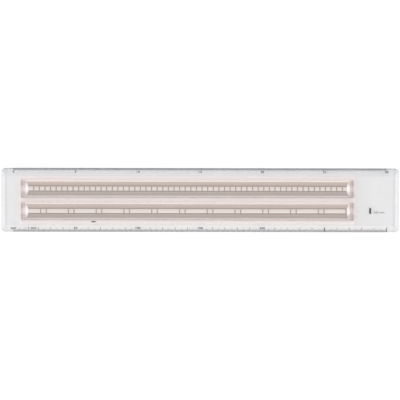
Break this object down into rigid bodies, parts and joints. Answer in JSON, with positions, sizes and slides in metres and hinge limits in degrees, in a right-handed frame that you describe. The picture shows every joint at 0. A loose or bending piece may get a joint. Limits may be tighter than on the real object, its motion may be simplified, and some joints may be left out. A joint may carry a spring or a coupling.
{
  "type": "drafting rule with graduated slides",
  "caption": "Clear flat drafting rule with bevelled scale edges and tinted ribbed slides that shift lengthwise in long closed windows.",
  "frame": {"origin": "centre of the underside, on the surface that the rule rests on", "axes": "+X along the rule towards the high end of its scales, +Y across it towards the upper scale edge, +Z out of the face that is read"},
  "size_m": [0.32, 0.0516, 0.004],
  "materials": {
    "clear_acrylic": "clear, polished",
    "tinted_plastic": "smoky brown, translucent",
    "stop_plastic": "satin grey-brown"
  },
  "bodies": {
    "rule_body": {"face_plate": "clear_acrylic", "back_plate": "clear_acrylic", "upper_left_top_stop": "stop_plastic", "upper_left_bottom_stop": "stop_plastic", "upper_right_top_stop": "stop_plastic", "upper_right_bottom_stop": "stop_plastic", "lower_left_top_stop": "stop_plastic", "lower_left_bottom_stop": "stop_plastic", "lower_right_top_stop": "stop_plastic", "lower_right_bottom_stop": "stop_plastic"},
    "upper_slide": {"upper_slide": "tinted_plastic"},
    "lower_slide": {"lower_slide": "tinted_plastic"}
  },
  "joints": [
    {"name": "upper_slide_travel", "type": "slide", "parent": "rule_body", "child": "upper_slide", "axis": [1, 0, 0], "range_m": [-0.0015, 0.0015]},
    {"name": "lower_slide_travel", "type": "slide", "parent": "rule_body", "child": "lower_slide", "axis": [1, 0, 0], "range_m": [-0.0015, 0.0015]}
  ]
}
